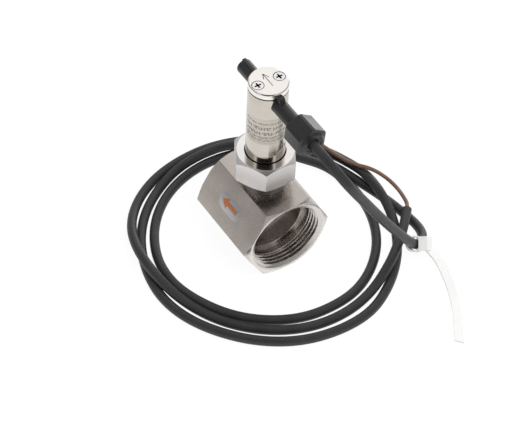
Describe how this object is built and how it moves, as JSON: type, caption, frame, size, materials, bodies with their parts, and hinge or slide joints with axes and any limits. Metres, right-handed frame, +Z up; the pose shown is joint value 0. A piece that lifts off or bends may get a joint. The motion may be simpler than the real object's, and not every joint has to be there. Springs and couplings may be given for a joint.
{
  "type": "paddle flow switch",
  "caption": "Paddle flow switch: hexagonal pipe body with a threaded socket at each end, a round switch head on a hexagonal neck, and a coiled cable.",
  "frame": {"origin": "middle of the pipe body's bottom flat, on which the switch stands", "axes": "+Z up through the switch head, +Y along the pipe in the flow direction, +X across the pipe"},
  "size_m": [0.1512, 0.1877, 0.1187],
  "materials": {
    "body_steel": "satin, turned and milled stainless steel",
    "neck_steel": "fine satin stainless steel",
    "housing_steel": "turned and polished stainless steel",
    "weld_steel": "dull stainless weld",
    "screw_steel": "bright screws",
    "inner_steel": "satin",
    "film": "clear printed film, satin",
    "arrow_print": "orange print",
    "label": "silver film, left bare of text",
    "gasket": "matte",
    "black_plastic": "satin black plastic",
    "inner_plastic": "satin",
    "glass": "clear",
    "wire": "tinned copper",
    "potting": "cast resin",
    "seal": "matte",
    "magnet": "plated magnet",
    "cable_jacket": "satin black jacket",
    "core_brown": "brown core",
    "tie_white": "white nylon"
  },
  "bodies": {
    "base": {"pipe_body": "body_steel", "arrow_film": "film", "flow_arrow": "arrow_print", "neck_nipple": "weld_steel", "weld_bead": "weld_steel", "neck_gasket": "gasket", "neck_hexagon": "neck_steel", "sensor_housing": "housing_steel", "housing_label": "label", "clamp_cap": "housing_steel", "cap_screws": "screw_steel", "pivot_yoke": "inner_steel", "pivot_pin": "inner_steel", "pivot_spacers": "inner_plastic", "magnet_holder": "inner_plastic", "return_magnet": "magnet"},
    "rocker": {"rocker_arm": "inner_plastic", "paddle_plate": "inner_steel", "paddle_rivets": "inner_steel", "pivot_bush": "inner_plastic", "rocker_magnet": "magnet"},
    "reed_slide": {"reed_tube": "black_plastic", "reed_carrier": "inner_plastic", "reed_capsule": "glass", "reed_leads": "wire", "potting_plug": "potting", "connection_wires": "wire", "gland_nut": "black_plastic", "cable_seal": "seal", "cable": "cable_jacket", "brown_core": "core_brown", "cable_tie": "tie_white"}
  },
  "joints": [
    {"name": "paddle_swing", "type": "hinge", "parent": "base", "child": "rocker", "pos_m": [0, 0, 0.07505], "axis": [1, 0, 0], "range_deg": [0, 10], "stiffness_Nm_per_rad": 0.03, "springref_deg": -5.73},
    {"name": "reed_adjust", "type": "slide", "parent": "base", "child": "reed_slide", "axis": [0, 1, 0], "range_m": [-0.004, 0.004]}
  ]
}
